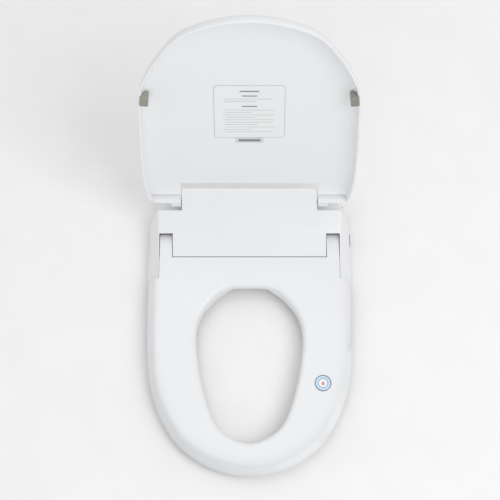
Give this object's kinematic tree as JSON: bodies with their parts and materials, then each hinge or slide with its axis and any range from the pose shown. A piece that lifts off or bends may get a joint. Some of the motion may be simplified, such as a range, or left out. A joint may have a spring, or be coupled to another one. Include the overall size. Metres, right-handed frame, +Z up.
{
  "type": "electric bidet seat",
  "caption": "Bidet toilet seat with a heated elongated ring, soft-close lid, washing nozzles, warm-air dryer and a rear housing on a bolted plate.",
  "frame": {"origin": "midpoint between the two bowl bolts, on the underside of the mounting plate, which is the bowl rim plane", "axes": "+Z up, the seat points along -Y, +X to the right seen from the front"},
  "size_m": [0.3866, 0.6305, 0.6258],
  "materials": {
    "gloss_white": "polished injection-moulded polypropylene",
    "grey_plastic": "moulded acetal, fine matt",
    "dark_plastic": "moulded glass-filled nylon, matt",
    "clear_grey": "smooth moulded nozzle plastic",
    "rubber_grey": "moulded rubber, fine matt",
    "steel": "turned and brushed stainless steel",
    "brass": "turned brass",
    "foil": "aluminium heating foil",
    "board": "solder-masked glass-epoxy board",
    "paper_label": "printed adhesive label",
    "badge_blue": "printed domed vinyl badge"
  },
  "bodies": {
    "mounting": {"mounting_plate": "grey_plastic", "mounting_bolt_left": "steel", "mounting_bolt_right": "steel", "cone_bush_left": "rubber_grey", "cone_bush_right": "rubber_grey", "wing_nut_left": "gloss_white", "wing_nut_right": "gloss_white"},
    "base": {"housing_cover": "gloss_white", "base_tray": "gloss_white", "cover_screw_1": "steel", "cover_screw_2": "steel", "cover_screw_3": "steel", "cover_screw_4": "steel", "base_pad_left": "rubber_grey", "base_pad_right": "rubber_grey", "seat_hinge_pin_left": "steel", "seat_hinge_pin_right": "steel", "seat_damper_left": "dark_plastic", "seat_damper_right": "dark_plastic", "lid_hinge_pin_left": "steel", "lid_hinge_pin_right": "steel", "lid_damper_left": "dark_plastic", "lid_damper_right": "dark_plastic", "nozzle_bracket": "dark_plastic", "rear_wash_motor": "steel", "front_wash_motor": "steel", "nozzle_shield": "gloss_white", "heater_tank": "dark_plastic", "heater_tank_lid": "dark_plastic", "heater_element": "steel", "inlet_valve": "dark_plastic", "inlet_fitting": "brass", "nozzle_hose": "clear_grey", "blower_case": "dark_plastic", "blower_motor": "steel", "dryer_duct": "dark_plastic", "control_board": "board", "power_supply": "dark_plastic", "cord_gland": "dark_plastic"},
    "lid": {"lid_shell": "gloss_white", "lid_bumper_left": "rubber_grey", "lid_bumper_right": "rubber_grey", "lid_label": "paper_label", "serial_label": "paper_label"},
    "seat": {"seat_top": "gloss_white", "seat_bottom": "gloss_white", "seat_heater": "foil", "seat_foot_1": "rubber_grey", "seat_foot_2": "rubber_grey", "seat_foot_3": "rubber_grey", "seat_foot_4": "rubber_grey", "seat_sticker": "badge_blue"},
    "rear_nozzle": {"rear_wash_nozzle": "clear_grey"},
    "front_nozzle": {"front_wash_nozzle": "clear_grey"},
    "rear_pinion": {"rear_wash_pinion": "grey_plastic"},
    "front_pinion": {"front_wash_pinion": "grey_plastic"},
    "blower": {"blower_wheel": "grey_plastic"},
    "flap": {"dryer_flap": "gloss_white"},
    "deodorizer": {"deodorizer_cartridge": "grey_plastic"},
    "button": {"release_button": "grey_plastic"}
  },
  "joints": [
    {"name": "release_slide", "type": "slide", "parent": "mounting", "child": "base", "axis": [0, -1, 0], "range_m": [0, 0.06]},
    {"name": "lid_hinge", "type": "hinge", "parent": "base", "child": "lid", "pos_m": [0, 0.035, 0.08], "axis": [-1, 0, 0], "range_deg": [-105.5, 0]},
    {"name": "seat_hinge", "type": "hinge", "parent": "base", "child": "seat", "pos_m": [0, -0.038, 0.038], "axis": [-1, 0, 0], "range_deg": [0, 95]},
    {"name": "rear_nozzle_slide", "type": "slide", "parent": "base", "child": "rear_nozzle", "axis": [0, -0.9848, -0.1736], "range_m": [0, 0.08]},
    {"name": "front_nozzle_slide", "type": "slide", "parent": "base", "child": "front_nozzle", "axis": [0, -0.9848, -0.1736], "range_m": [0, 0.08]},
    {"name": "rear_pinion_spin", "type": "hinge", "parent": "base", "child": "rear_pinion", "pos_m": [-0.013, -0.04849, 0.03975], "axis": [-1, 0, 0], "range_deg": [-5, 770]},
    {"name": "front_pinion_spin", "type": "hinge", "parent": "base", "child": "front_pinion", "pos_m": [0.013, -0.04849, 0.03975], "axis": [-1, 0, 0], "range_deg": [-5, 770]},
    {"name": "blower_spin", "type": "hinge", "parent": "base", "child": "blower", "pos_m": [0.098, 0.01, 0.027], "axis": [0, 0, 1], "continuous": true},
    {"name": "flap_hinge", "type": "hinge", "parent": "base", "child": "flap", "pos_m": [0.062, -0.0614, 0.0275], "axis": [-1, 0, 0], "range_deg": [0, 60]},
    {"name": "cartridge_slide", "type": "slide", "parent": "base", "child": "deodorizer", "axis": [1, 0, 0], "range_m": [0, 0.03]},
    {"name": "button_press", "type": "slide", "parent": "base", "child": "button", "axis": [-1, 0, 0], "range_m": [0, 0.003], "stiffness_N_per_m": 600}
  ],
  "couplings": [
    {"joint": "rear_pinion_spin", "follows": "rear_nozzle_slide", "rad_per_m": 166.67},
    {"joint": "front_pinion_spin", "follows": "front_nozzle_slide", "rad_per_m": 166.67}
  ]
}
